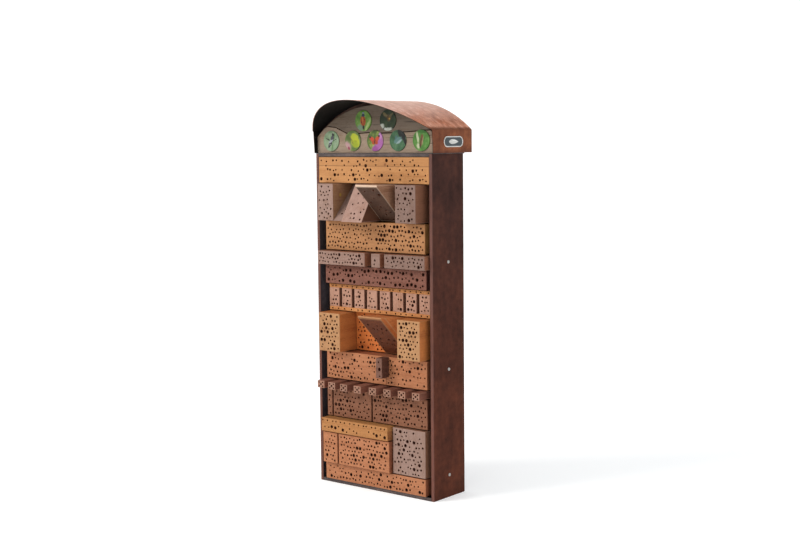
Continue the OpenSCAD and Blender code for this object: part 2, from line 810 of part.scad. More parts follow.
// Seven printed discs on the gable: five along the bottom, two above
module picture_discs() {
    low = [for (i = [-2:2]) [disc_low_x + i * disc_pitch, disc_low]];
    high = [for (s = [-1, 1]) [disc_high_x + s * disc_high_pitch / 2, disc_high]];
    color("seagreen") for (c = concat(low, high))
        translate([c[0], gable_y, roof_z + c[1]])
            rotate([90, 0, 0]) cylinder(d = disc_d, h = disc_t, $fn = 64);
}

// Rounded badge riveted to the right flange
module badge() {
    straight = badge_w - badge_h;
    color("gray") translate([roof_half, front_y + badge_y, roof_z + badge_z]) rotate([0, 90, 0]) {
        translate([-badge_h / 2, -straight / 2, 0]) cube([badge_h, straight, badge_t]);
        for (s = [-1, 1])
            translate([0, s * straight / 2, 0]) cylinder(d = badge_h, h = badge_t);
    }
}

// ---- assembly ------------------------------------------------------------------

case_shell();
backboard();
base_tray();
top_tray();
battens();
side_screws();
header_board();
ramp_block_left();
ramp_narrow();
ramp_wide();
ramp_canopy();
ramp_block_right();
upper_board();
bar_left();
bar_short();
bar_right();
middle_board();
comb_slat_top();
comb_slat_bottom();
for (i = [1:comb_count]) comb_block(i);
canopy_block_left();
canopy_panel();
canopy_wedge();
canopy_facing();
canopy_block_right();
panel_left();
panel_square();
panel_right();
for (i = [1:stick_count]) stick(i);
lower_strip();
lower_panel_left();
lower_panel_right();
ledge_slat();
ledge_beam();
standing_block();
under_block();
under_panel();
foot_board();
roof_shell();
front_gable();
rear_gable();
gable_board_upper();
gable_board_lower();
picture_discs();
badge();
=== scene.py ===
import math
import random

import bmesh
import bpy
from mathutils import Matrix, Vector


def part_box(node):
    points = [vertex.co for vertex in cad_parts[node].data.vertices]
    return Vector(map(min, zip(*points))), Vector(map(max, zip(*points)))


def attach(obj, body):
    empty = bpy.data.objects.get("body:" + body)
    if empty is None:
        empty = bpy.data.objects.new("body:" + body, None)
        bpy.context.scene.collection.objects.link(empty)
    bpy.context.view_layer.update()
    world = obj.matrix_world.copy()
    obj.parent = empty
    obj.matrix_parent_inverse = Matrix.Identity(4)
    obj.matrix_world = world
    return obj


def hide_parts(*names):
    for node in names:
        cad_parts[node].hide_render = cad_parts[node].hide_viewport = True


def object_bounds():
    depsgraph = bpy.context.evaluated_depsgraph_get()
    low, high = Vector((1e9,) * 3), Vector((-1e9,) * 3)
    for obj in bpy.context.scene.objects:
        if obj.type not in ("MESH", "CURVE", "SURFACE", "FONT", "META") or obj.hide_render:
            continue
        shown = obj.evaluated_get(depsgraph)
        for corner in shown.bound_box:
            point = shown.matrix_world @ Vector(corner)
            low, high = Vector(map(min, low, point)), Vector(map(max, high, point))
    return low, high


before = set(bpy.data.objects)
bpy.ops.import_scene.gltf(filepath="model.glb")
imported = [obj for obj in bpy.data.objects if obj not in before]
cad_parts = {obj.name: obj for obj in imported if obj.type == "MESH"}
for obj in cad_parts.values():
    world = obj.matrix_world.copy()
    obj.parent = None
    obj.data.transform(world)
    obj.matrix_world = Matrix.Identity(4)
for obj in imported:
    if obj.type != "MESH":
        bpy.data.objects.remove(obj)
cad_low, cad_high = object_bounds()
scene = bpy.context.scene

# ---- camera ------------------------------------------------------------------------
# A standing viewer's camera in front of the hotel and to its right, level with the
# top of the case, so that the right wall, the visor and the block ends all show.
lens = bpy.data.cameras.new("camera")
camera = bpy.data.objects.new("camera", lens)
scene.collection.objects.link(camera)
scene.camera = camera
lens.sensor_width = 36
lens.lens = 60.62
turned_left = math.radians(38.77)
tilted_down = math.radians(5.84)
rolled = math.radians(-0.55)
camera.matrix_world = (
    Matrix.Translation((2.3133, -2.8374, 0.9602))
    @ Matrix.Rotation(turned_left, 4, "Z")
    @ Matrix.Rotation(math.pi / 2 - tilted_down, 4, "X")
    @ Matrix.Rotation(rolled, 4, "Z")
)

# ---- studio ------------------------------------------------------------------------
# A pale round floor that turns up into a low wall, so no horizon shows from any side.
# One large soft light stands up to the left of the front, and a weak one to the right.
floor_r = 7
wall_r = 2
wall_h = 4
bends = 8
sweep = bmesh.new()
profile = [sweep.verts.new((0, 0, 0)), sweep.verts.new((floor_r - wall_r, 0, 0))]
for step in range(1, bends + 1):
    turn = math.radians(90 * step / bends)
    edge = (floor_r - wall_r + wall_r * math.sin(turn), 0, wall_r * (1 - math.cos(turn)))
    profile.append(sweep.verts.new(edge))
profile.append(sweep.verts.new((floor_r, 0, wall_h)))
profile_edges = [sweep.edges.new(pair) for pair in zip(profile, profile[1:])]
bmesh.ops.spin(
    sweep, geom=profile + profile_edges, axis=(0, 0, 1), cent=(0, 0, 0),
    angle=math.tau, steps=64, use_merge=True,
)
bmesh.ops.remove_doubles(sweep, verts=sweep.verts, dist=1e-5)
bmesh.ops.recalc_face_normals(sweep, faces=sweep.faces)
floor_mesh = bpy.data.meshes.new("floor")
sweep.to_mesh(floor_mesh)
sweep.free()
floor_mesh.shade_smooth()
floor = bpy.data.objects.new("floor", floor_mesh)
scene.collection.objects.link(floor)
paper = bpy.data.materials.new("paper")
paper.use_nodes = True
paper_sockets = paper.node_tree.nodes["Principled BSDF"].inputs
paper_sockets["Base Color"].default_value = (0.86, 0.86, 0.86, 1)
paper_sockets["Roughness"].default_value = 0.9
paper_sockets["Specular IOR Level"].default_value = 0.1
paper_sockets["Emission Color"].default_value = (1, 1, 1, 1)
paper_sockets["Emission Strength"].default_value = 0.28
floor_mesh.materials.append(paper)

sky = bpy.data.worlds.new("sky")
scene.world = sky
sky.use_nodes = True
sky.node_tree.nodes["Background"].inputs["Color"].default_value = (0.95, 0.98, 1, 1)
sky.node_tree.nodes["Background"].inputs["Strength"].default_value = 0.7


def soft_light(name, place, aim, size, power, colour):
    """A square light that faces `aim`."""
    lamp = bpy.data.lights.new(name, "AREA")
    lamp.size = size
    lamp.energy = power
    lamp.color = colour
    made = bpy.data.objects.new(name, lamp)
    made.location = place
    made.rotation_mode = "QUATERNION"
    made.rotation_quaternion = (Vector(aim) - Vector(place)).to_track_quat("-Z", "Y")
    scene.collection.objects.link(made)


middle = (cad_low + cad_high) / 2
soft_light("key_light", (-2.4, -3.6, 3.4), middle, size=2.2, power=190, colour=(1, 0.97, 0.92))
soft_light("right_light", (4.2, -1.6, 2.2), middle, size=2.2, power=22, colour=(0.95, 0.97, 1))
scene.view_settings.view_transform = "Standard"

# ---- case shell --------------------------------------------------------------------
# One sheet of weathering steel folded to a U, with a narrow lip at each front edge.
# Outside it has gone to dark chocolate rust; inside it is painted blue-black as shade with a sky reflection
# in it, and the lips' front faces carry a painted highlight.


class Shade:
    """One value in a material. Arithmetic on it adds the Math nodes."""

    def __init__(self, tree, socket):
        self.tree = tree
        self.socket = socket

    def node(self, kind, settings, values, output=0):
        """Adds a node: its settings first, then the values or links of its sockets."""
        made = self.tree.nodes.new(kind)
        for name, setting in settings.items():
            if name == "stops":
                stops = made.color_ramp.elements
                stops[0].position = setting[0][0]
                stops[1].position = setting[-1][0]
                for position, _ in setting[1:-1]:
                    stops.new(position)
                for stop, (_, paint) in zip(stops, setting):
                    stop.color = paint
            else:
                setattr(made, name, setting)
        for name, value in values.items():
            if isinstance(value, Shade):
                self.tree.links.new(value.socket, made.inputs[name])
            else:
                made.inputs[name].default_value = value
        return Shade(self.tree, made.outputs[output]) if made.outputs else None

    def math(self, operation, *others):
        return self.node("ShaderNodeMath", {"operation": operation}, dict(enumerate((self, *others))))

    def __add__(self, other):
        return self.math("ADD", other)

    def __sub__(self, other):
        return self.math("SUBTRACT", other)

    def __rsub__(self, other):
        return self.node("ShaderNodeMath", {"operation": "SUBTRACT"}, {0: other, 1: self})

    def __mul__(self, other):
        return self.math("MULTIPLY", other)

    __radd__ = __add__
    __rmul__ = __mul__

    def limit(self):
        """The value kept from 0 to 1."""
        return self.node("ShaderNodeClamp", {}, {0: self})

    def ease(self, start, end):
        """0 at `start`, 1 at `end`, smooth in between."""
        low, high = min(start, end), max(start, end)
        to = (0, 1) if start < end else (1, 0)
        values = {0: self, 1: low, 2: high, 3: to[0], 4: to[1]}
        return self.node("ShaderNodeMapRange", {"interpolation_type": "SMOOTHSTEP"}, values)


def tint(red, green, blue):
    """Linear colour of a paint given in 0 to 255 screen values."""
    def linear(value):
        share = value / 255
        return share / 12.92 if share <= 0.04045 else ((share + 0.055) / 1.055) ** 2.4
    return (linear(red), linear(green), linear(blue), 1)


def toned(colour, red, green=None, blue=None):
    """The colour with its channels scaled."""
    green = red if green is None else green
    blue = green if blue is None else blue
    return (colour[0] * red, colour[1] * green, colour[2] * blue, 1)


def new_finish(name):
    """A material and the piece's own coordinates in it, in metres."""
    material = bpy.data.materials.new(name)
    material.use_nodes = True
    tree = material.node_tree
    tree.nodes.clear()
    place = tree.nodes.new("ShaderNodeTexCoord")
    return material, Shade(tree, place.outputs["Object"])


def close_finish(place, sockets, height, depth):
    """Ends a material in one surface, whose bump is `depth` metres high."""
    bump = place.node("ShaderNodeBump", {}, {"Distance": depth, "Height": height})
    surface = place.node("ShaderNodeBsdfPrincipled", {}, {**sockets, "Normal": bump})
    place.node("ShaderNodeOutputMaterial", {}, {"Surface": surface})


def scaled(place, scale, shift=(0, 0, 0)):
    return place.node("ShaderNodeMapping", {}, {"Vector": place, "Scale": scale, "Location": shift})


def noise(place, scale, detail=3, roughness=0.5):
    values = {"Vector": place, "Scale": scale, "Detail": detail, "Roughness": roughness}
    return place.node("ShaderNodeTexNoise", {}, values)


def blend(share, first, second):
    """Colour that goes from the first to the second as `share` goes from 0 to 1."""
    return share.node("ShaderNodeMix", {"data_type": "RGBA"}, {0: share, 6: first, 7: second}, 2)


def ramp(value, *stops):
    return value.node("ShaderNodeValToRGB", {"stops": stops}, {0: value})


def part_of(place, axis):
    return place.node("ShaderNodeSeparateXYZ", {}, {0: place}, "XYZ".index(axis))


def dress(material, *names):
    for name in names:
        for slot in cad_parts[name].material_slots:
            slot.material = material


def rusted(place, run, deep, rust, bright):
    """Weathered steel: clouds, run marks stretched by `run`, and pitting. The colour goes from
    `deep` over `rust` to `bright` with the tone, and the height is for the bump."""
    cloud = noise(place, 9, 5, 0.6)
    patch = noise(place, 55, 4, 0.6)
    runs = noise(scaled(place, run), 1, 5, 0.62)
    grit = noise(place, 700, 2, 0.6)
    tone = cloud * 0.42 + patch * 0.33 + runs * 0.25 + (grit - 0.5) * 0.25
    colour = ramp(tone, (0.36, deep), (0.5, rust), (0.64, bright))
    height = grit * 0.6 + patch * 0.4
    return colour, tone, height


sheet = 0.0025
shelter_z = 0.25
lip_edge = 0.004
lip_face = 0.001
wall_low, wall_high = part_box("case_shell")
shell_finish, place = new_finish("case_corten")
colour, tone, height = rusted(
    place, (38, 38, 6), tint(44, 25, 21), tint(60, 34, 28), tint(78, 44, 33)
)
down = part_of(place, "Z").ease(wall_high.z, shelter_z)
colour = blend(down * 0.65, colour, ramp(tone, (0.36, tint(56, 25, 13)), (0.64, tint(98, 46, 24))))
side = part_of(place, "X").math("ABSOLUTE").math("GREATER_THAN", wall_high.x - sheet / 2)
rear = part_of(place, "Y").math("GREATER_THAN", wall_high.y - sheet / 2)
front = part_of(place, "Y").math("LESS_THAN", wall_low.y + sheet / 2)
outside = side.math("MAXIMUM", rear).math("MAXIMUM", front)
# Inside faces: blue-black, painted shade with a sky reflection in it.
inside_shade_colour = ramp(tone, (0.36, tint(44, 41, 47)), (0.64, tint(82, 76, 80)))
# The lips' front faces are lightened: a painted highlight.
lip_highlight = part_of(place, "Y").ease(wall_low.y + lip_edge, wall_low.y + lip_face)
colour = blend(outside, inside_shade_colour, blend(lip_highlight * 0.4, colour, tint(128, 92, 84)))
close_finish(
    place,
    {"Base Color": colour, "Roughness": 0.9 - tone * 0.3, "Metallic": 0.1, "Specular IOR Level": 0.12},
    height, 0.0004,
)
dress(shell_finish, "case_shell")

# ---- trays -------------------------------------------------------------------------
# Two shallow trays of the same sheet close the case at the foot and under the roof.
# The top one shows as a dark strip below the gable.
tray_finish, place = new_finish("tray_corten")
colour, tone, height = rusted(
    place, (4, 75, 75), tint(40, 32, 31), tint(66, 54, 52), tint(92, 76, 70)
)
close_finish(
    place,
    {"Base Color": colour, "Roughness": 0.8 - tone * 0.3, "Metallic": 0.15},
    height, 0.0003,
)
dress(tray_finish, "base_tray", "top_tray")

# ---- backboard and battens ---------------------------------------------------------
# Sawn softwood behind the stack: the plain board that every block is fixed to, and a
# dark batten upright in each side gap, which takes the side screws. The battens' near-black is painted shade
# in the gaps.


def timber(
    name, face, side, grain, seed, ring=0.0045, streaks=1.0,
    knots=(), planes=(), soffit_shade=None, split=None, checks=0.0, hatch=None,
):
    """Finish of one wooden piece, worked out in the solid: growth rings about a pith, fibres along
    the grain, bores darkened as painted shade, pale worn edges, and `face` on the drilled front with
    `side` elsewhere. A knot is (axis it runs along, centre, radius, colour). A plane is the (inward
    normal, point) of a slanting face, the drilled one first; the soffit colour is a darker one for it,
    painted shade on a face that looks down. `split` is the height of a drying crack, `checks` the strength of
    short ones, `hatch` the spacing of crossing saw marks."""
    skin = 0.0012
    worn = 0.003
    front_start, front_end = 0.0015, 0.0005
    bore_shade = tint(84, 42, 26)
    low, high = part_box(name)
    draw = random.Random(seed)
    material, place = new_finish(name + "_wood")
    along = "XYZ".index(grain)

    # how near the skin is on each axis: near one face it is skin, near two an edge, near none a bore
    centred = place.node("ShaderNodeVectorMath", {"operation": "SUBTRACT"}, {0: place, 1: (low + high) / 2})
    centred = centred.node("ShaderNodeVectorMath", {"operation": "ABSOLUTE"}, {0: centred})
    below = centred.node("ShaderNodeVectorMath", {"operation": "SUBTRACT"}, {0: (high - low) / 2, 1: centred})
    by_axis = {"data_type": "FLOAT_VECTOR", "interpolation_type": "SMOOTHSTEP"}
    skins = []
    for reach in (skin, worn):
        ends = {6: below, 7: (0, 0, 0), 8: (reach,) * 3, 9: (1, 1, 1), 10: (0, 0, 0)}
        near = below.node("ShaderNodeMapRange", by_axis, ends, 1)
        near = near.node("ShaderNodeVectorMath", {"operation": "DOT_PRODUCT"}, {0: near, 1: (1, 1, 1)}, 1)
        skins.append(near)
    front = part_of(place, "Y").ease(low.y + front_start, low.y + front_end)
    for inward, point in planes:
        under = place.node("ShaderNodeVectorMath", {"operation": "DOT_PRODUCT"}, {0: place, 1: inward}, 1)
        under = under - inward.dot(point)
        skins = [skins[0] + under.ease(skin, 0), skins[1] + under.ease(worn, 0)]
        if inward is planes[0][0]:
            slope = under.ease(front_start, front_end)
            front = front if soffit_shade else front.math("MAXIMUM", slope)
    bore = 1 - skins[0].limit()
    edge = (skins[1] - 1).limit()

    # growth rings about a pith that lies outside the piece, bent by a slow noise
    stretch = [1, 1, 1]
    stretch[along] = 0.12
    pith = (low + high) / 2
    pith += Vector([draw.uniform(0.05, 0.11) * draw.choice((-1, 1)) for _ in range(3)])
    pith[along] = draw.uniform(0, 1)
    trunk = scaled(place, stretch, -pith)
    rings = trunk.node(
        "ShaderNodeTexWave",
        {"wave_type": "RINGS", "rings_direction": grain, "wave_profile": "SAW"},
        {
            "Vector": trunk, "Scale": math.pi / 10 / ring, "Distortion": 9,
            "Detail": 2, "Detail Scale": 9, "Detail Roughness": 0.55,
        },
    )
    fine = [620, 620, 620]
    fine[along] = 22
    broad = [46, 46, 46]
    broad[along] = 4
    fibre = noise(scaled(place, fine, pith), 1, 3, 0.6)
    band = noise(scaled(place, broad, pith), 1, 3, 0.55)
    late = rings.math("POWER", 2.5)
    tone = late * (0.42 * streaks) + (fibre - 0.5) * (0.7 * streaks) + (band - 0.5) * 1.5 + 0.35

    pale = ramp(tone, (0, toned(face, 1.1, 1.1, 1.12)), (0.45, face), (1, toned(face, 0.74, 0.62, 0.5)))
    warm = ramp(tone, (0, toned(side, 1.12, 1.1)), (0.45, side), (1, toned(side, 0.6, 0.5, 0.42)))
    colour = blend(front, warm, pale)
    # Where a soffit colour is given, the drilled slanting face takes it: painted shade on a face that looks
    # down.
    if soffit_shade:
        shaded = ramp(tone, (0, toned(soffit_shade, 1.2)), (0.45, soffit_shade), (1, toned(soffit_shade, 0.6, 0.5, 0.42)))
        colour = blend(slope, colour, shaded)
    for axis, centre, radius, paint in knots:
        size = [radius, radius, radius]
        size["XYZ".index(axis)] = 1000
        eye = place.node(
            "ShaderNodeMapping", {"vector_type": "TEXTURE"},
            {"Vector": place, "Location": centre, "Scale": size},
        )
        eye = eye.node("ShaderNodeVectorMath", {"operation": "LENGTH"}, {0: eye}, 1)
        wobbly = eye + (band - 0.5) * 0.5
        colour = blend(wobbly.ease(2.6, 0.8) * 0.45, colour, toned(side, 0.8, 0.62, 0.45))
        colour = blend(wobbly.ease(1.05, 0.75) * 0.8, colour, paint)
    if split:
        above = part_of(place, "Z") + (band - 0.5) * 0.006 - split
        colour = blend(above.ease(-0.0005, 0.0005) * 0.22, colour, toned(side, 0.8, 0.7, 0.6))
        colour = blend(above.math("ABSOLUTE").ease(0.0012, 0.0003) * 0.7, colour, toned(side, 0.3))
    if checks:
        slit = [330, 330, 330]
        slit[along] = 9
        slits = noise(scaled(place, slit, pith), 1, 1.5, 0.5).ease(0.62, 0.7) * checks
        colour = blend(slits * 0.75, colour, toned(side, 0.22, 0.2, 0.18))
        band = band - slits * 0.8
    if hatch:
        for axis in "XZ":
            saw_marks = place.node(
                "ShaderNodeTexWave",
                {"wave_type": "BANDS", "bands_direction": axis, "wave_profile": "TRI"},
                {"Vector": place, "Scale": math.pi / 10 / hatch},
            )
            colour = blend(saw_marks.ease(0.4, 0.9) * 0.3, colour, toned(side, 0.8, 0.6, 0.35))
    stain = noise(place, 24, 4, 0.6).ease(0.52, 0.8)
    colour = blend(stain * 0.28, colour, toned(side, 0.6, 0.52, 0.48))
    colour = blend(edge * 0.4, colour, toned(face, 1.18, 1.16, 1.14))
    # Bore walls darkened to the bore colour: painted shade inside the holes.
    colour = blend(bore * 0.95, colour, bore_shade)
    close_finish(
        place,
        {"Base Color": colour, "Roughness": 0.6 + fibre * 0.2 + bore * 0.1, "Specular IOR Level": 0.3},
        fibre * 0.5 + late * 0.3 + band * 0.2, 0.00035,
    )
    dress(material, name)


plain = tint(196, 150, 100)
# The battens' near-black tone below is painted shade in the side gaps.
batten_shade = toned(plain, 0.16, 0.15, 0.16)
timber("backboard", plain, toned(plain, 0.5), "Z", 1)
timber("battens", batten_shade, batten_shade, "Z", 2)

# ---- side screws -------------------------------------------------------------------
# Bright pan-head screws with a cross recess, three down each side wall.


def parts_of(name):
    """The (lowest, highest) corners of each separate solid of a node."""
    solid = bmesh.new()
    solid.from_mesh(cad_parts[name].data)
    bmesh.ops.remove_doubles(solid, verts=solid.verts, dist=1e-6)
    left = set(solid.verts)
    found = []
    while left:
        reached = [left.pop()]
        for vertex in reached:
            near = {edge.other_vert(vertex) for edge in vertex.link_edges} & left
            left -= near
            reached.extend(near)
        corners = [vertex.co for vertex in reached]
        found.append((
            Vector([min(corner[i] for corner in corners) for i in range(3)]),
            Vector([max(corner[i] for corner in corners) for i in range(3)]),
        ))
    solid.free()
    return sorted(found, key=lambda box: (round(box[0].z, 3), round(box[0].x, 3)))


def new_piece(name, shape, body, replaced, slot, *materials):
    """Makes a piece from a bmesh that is already in place."""
    mesh = bpy.data.meshes.new(name)
    shape.to_mesh(mesh)
    shape.free()
    for material in materials:
        mesh.materials.append(material)
    piece = bpy.data.objects.new(name, mesh)
    scene.collection.objects.link(piece)
    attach(piece, body)
    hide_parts(replaced)
    return piece


def screw_head(radius, height):
    """Domed head about +Z with a sunk cross, open at its foot."""
    head = bmesh.new()
    arm = radius * 0.52
    thick = radius * 0.14
    dome = ((0.7, 0.03), (0.88, 0.22), (0.97, 0.5), (1, 1))
    for quarter in range(4):
        turn = Matrix.Rotation(quarter * math.pi / 2, 3, "Z")
        for x, y in ((thick, -thick), (arm, -thick), (arm, 0), (arm, thick), (thick, thick)):
            head.verts.new(turn @ Vector((x, y, height)))
    bmesh.ops.remove_doubles(head, verts=head.verts, dist=1e-7)
    cross = sorted(head.verts, key=lambda vertex: math.atan2(vertex.co.y, vertex.co.x))
    recess = head.faces.new(cross)
    ring = list(recess.edges)
    for share, drop in dome:
        made = bmesh.ops.extrude_edge_only(head, edges=ring)["geom"]
        ring = [part for part in made if isinstance(part, bmesh.types.BMEdge) and part.is_boundary]
        for vertex in {vertex for edge in ring for vertex in edge.verts}:
            flat = Vector((vertex.co.x, vertex.co.y)).normalized() * radius * share
            vertex.co = (flat.x, flat.y, height * (1 - drop))
    bmesh.ops.inset_region(head, faces=[recess], thickness=thick * 0.2, depth=-height * 0.7)
    bmesh.ops.recalc_face_normals(head, faces=head.faces)
    return head


steel, place = new_finish("bright_steel")
brushed = noise(scaled(place, (400, 400, 3000)), 1, 2, 0.5)
dull = noise(place, 900, 3, 0.6)
colour = ramp(dull, (0.3, tint(150, 146, 140)), (0.7, tint(222, 220, 216)))
close_finish(
    place,
    {"Base Color": colour, "Roughness": 0.28 + dull * 0.25, "Metallic": 1.0},
    brushed, 0.00003,
)
screws = bmesh.new()
for low, high in parts_of("side_screws"):
    sign = 1 if high.x + low.x > 0 else -1
    wall = wall_high.x * sign
    head_r = (high.z - low.z) / 2
    head_t = abs(high.x if sign > 0 else low.x) - wall_high.x
    head = screw_head(head_r, head_t)
    stopped_at = low.z * 9
    turned = Matrix.Rotation(sign * math.pi / 2, 4, "Y") @ Matrix.Rotation(stopped_at, 4, "Z")
    spot = Vector((wall, (low.y + high.y) / 2, (low.z + high.z) / 2))
    bmesh.ops.transform(head, matrix=Matrix.Translation(spot) @ turned, verts=head.verts)
    one = bpy.data.meshes.new("screw")
    head.to_mesh(one)
    head.free()
    screws.from_mesh(one)
    bpy.data.meshes.remove(one)
new_piece("screw_heads", screws, "case", "side_screws", "screw_steel", steel)

# ---- header board ------------------------------------------------------------------
# Full-width honey larch board in two strips, with a knot and a drying crack.
honey = tint(168, 118, 71)
honey_side = tint(146, 100, 54)
low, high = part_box("header_board")
crack_z = low.z + 0.66 * (high.z - low.z)
header_knot = ("Y", (0.045, 0, crack_z + 0.004), 0.0035, tint(96, 56, 30))
timber(
    "header_board", honey, honey_side, "X", 11, ring=0.006, streaks=0.8,
    knots=[header_knot], split=crack_z,
)

# ---- ramp row ----------------------------------------------------------------------
# Grey-pink hardwood: two drilled blocks with two ramps and an overhanging wedge between.
grey = tint(134, 108, 97)
grey_side = tint(128, 88, 66)


def slanting_faces(name):
    """(inward normal, point) of each large face that is square to no axis, the drilled one first."""
    large = 0.00005
    square_on = 0.97
    found = []
    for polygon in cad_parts[name].data.polygons:
        normal, centre = polygon.normal, polygon.center
        if polygon.area > large and max(abs(part) for part in normal) < square_on:
            known = any(
                inward.dot(normal) < -0.99 and abs(inward.dot(centre - point)) < 0.0005
                for inward, point in found
            )
            if not known:
                found.append((-normal.copy(), centre.copy()))
    return sorted(found, key=lambda face: -face[0].y)


low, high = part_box("ramp_block_left")
knot_in = 0.031
block_knot = ("X", (0, low.y + knot_in, high.z - knot_in), 0.005, tint(176, 142, 58))
timber("ramp_block_left", grey, tint(146, 108, 78), "Y", 21, ring=0.004, knots=[block_knot])
timber("ramp_narrow", grey, grey_side, "Y", 22, ring=0.004, planes=slanting_faces("ramp_narrow"))
# The wide ramp's slope face is a lighter copy of the grey, a painted highlight on a face that turns up; its
# side is darkened as painted shade.
timber(
    "ramp_wide", toned(grey, 1.3, 1.25), tint(84, 50, 32), "Y", 23, ring=0.004,
    planes=slanting_faces("ramp_wide"),
)
# The canopy's cream nose stands for its lit top edge, a painted highlight; its drilled underside is darkened
# as painted shade.
timber(
    "ramp_canopy", tint(196, 170, 148), tint(150, 112, 88), "Y", 24, ring=0.004,
    planes=slanting_faces("ramp_canopy"), soffit_shade=tint(66, 42, 28),
)
# The right block's side is darkened further: painted shadow.
timber(
    "ramp_block_right", toned(grey, 0.7, 0.68, 0.68), toned(grey_side, 0.8, 0.72, 0.68), "Y", 25,
    ring=0.004,
)

# ---- upper board -------------------------------------------------------------------
# Honey larch again, the most densely drilled board, set back behind the case's edge.
# The face is the honey darkened: painted shade under the rows above.
timber("upper_board", toned(honey, 0.82, 0.8, 0.88), honey_side, "X", 31, ring=0.007, streaks=0.8)

# ---- bars --------------------------------------------------------------------------
# Three short bars of the grey-pink wood that stand out as perches.
bar_side = toned(grey_side, 1, 0.85, 0.75)
for seed, (name, shade) in enumerate((("bar_left", 0.92), ("bar_short", 0.85), ("bar_right", 0.72)), 41):
    timber(name, toned(grey, shade, shade * 0.95, shade * 0.93), bar_side, "X", seed, ring=0.005)

# ---- middle board ------------------------------------------------------------------
# Red-brown hardwood board with the largest bores.
red = tint(108, 66, 52)
timber("middle_board", red, toned(red, 0.5, 0.4), "X", 51, ring=0.005)

# ---- comb --------------------------------------------------------------------------
# Eight small pink blocks held between two thin orange slats; bees also use the slots.
orange = tint(176, 118, 68)
pink = tint(158, 118, 99)
for seed, name in enumerate(("comb_slat_top", "comb_slat_bottom"), 61):
    timber(name, orange, toned(orange, 0.8, 0.7), "X", seed, ring=0.004)
for seed in range(8):
    timber(f"comb_block_{seed + 1}", pink, toned(pink, 0.5, 0.4, 0.34), "Z", 63 + seed, ring=0.004)

# ---- canopy row --------------------------------------------------------------------
# Two big yellow-tan end-grain blocks, a drilled panel far back between them, and a wedge
# that roofs it, with a facing board on its underside.
tan = tint(156, 114, 76)
tan_side = tint(166, 98, 48)
timber("canopy_block_left", tan, tan_side, "Y", 71, ring=0.004)
timber("canopy_block_right", tan, tan_side, "Y", 72, ring=0.004)
timber("canopy_panel", tint(190, 104, 46), tan_side, "X", 73)
timber(
    "canopy_wedge", tan, toned(tan_side, 1.05, 1), "Y", 74, ring=0.006,
    planes=slanting_faces("canopy_wedge"),
)
# The facing's drilled underside is nearly black: painted shade under the wedge.
timber(
    "canopy_facing", tan, toned(tan_side, 1.0, 0.9), "Y", 75, ring=0.004,
    planes=slanting_faces("canopy_facing"), soffit_shade=toned(tan_side, 0.06, 0.035, 0.015), hatch=0.004,
)

# ---- panel row ---------------------------------------------------------------------
# Two orange panels, with a narrow mauve block fixed on their faces over the joint.
peach = tint(158, 102, 68)
timber("panel_left", peach, toned(peach, 0.75, 0.65), "X", 81)
timber("panel_right", peach, toned(peach, 0.75, 0.65), "X", 82)
timber("panel_square", tint(101, 68, 55), tint(78, 46, 34), "Y", 83)

# ---- sticks ------------------------------------------------------------------------
# Eight square sticks that stand out by turns, each with a few bores in its end.
for seed in range(8):
    shade = 1 - 0.07 * (seed % 3)
    timber(
        f"stick_{seed + 1}", toned(tint(140, 102, 84), shade), toned(tint(116, 70, 54), shade),
        "Y", 91 + seed, ring=0.003,
    )

# ---- lower row ---------------------------------------------------------------------
# A narrow strip and two panels in pink-brown wood.
rose = tint(118, 75, 52)
# The pink-brown is the wood's own, darkened further as painted shade under the sticks.
for seed, name in enumerate(("lower_strip", "lower_panel_left", "lower_panel_right"), 101):
    timber(name, rose, toned(rose, 0.62, 0.5), "X", seed)

# ---- ledge -------------------------------------------------------------------------
# A thin pale slat on a drilled beam, with a tall block standing beside both.
ledge = tint(154, 104, 58)
timber("ledge_slat", ledge, toned(ledge, 1.05, 1.08), "X", 111)
timber("ledge_beam", ledge, toned(ledge, 0.8, 0.7), "X", 112)
timber("standing_block", grey, grey_side, "Z", 113)

# ---- bottom rows -------------------------------------------------------------------
# A block and a panel under the ledge, and the foot board that carries the whole stack.
for seed, name in enumerate(("under_block", "under_panel", "foot_board"), 121):
    timber(name, peach, toned(peach, 0.62, 0.5), "X", seed)

# ---- roof shell --------------------------------------------------------------------
# Arched sheet with a vertical flange down each side; its front edge leans out to a visor.
# The outside is bright orange rust with run marks down the slope and a painted highlight on the crown; the
# underside is painted near black as shade.
roof_low, roof_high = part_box("roof_shell")
shell_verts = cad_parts["roof_shell"].data.vertices
fold_z = max(vertex.co.z for vertex in shell_verts if abs(vertex.co.x) > roof_high.x - 1e-5)
rise = roof_high.z - fold_z
arch_r = (roof_high.x ** 2 + rise ** 2) / (2 * rise)
roof_finish, place = new_finish("roof_corten")
colour, tone, height = rusted(
    place, (9, 60, 9), tint(140, 84, 62), tint(194, 134, 108), tint(236, 198, 184)
)
blotch = noise(place, 26, 5, 0.65).ease(0.5, 0.62)
colour = blend(blotch * 0.5, colour, ramp(height, (0.4, tint(150, 76, 44)), (0.6, tint(198, 112, 66))))
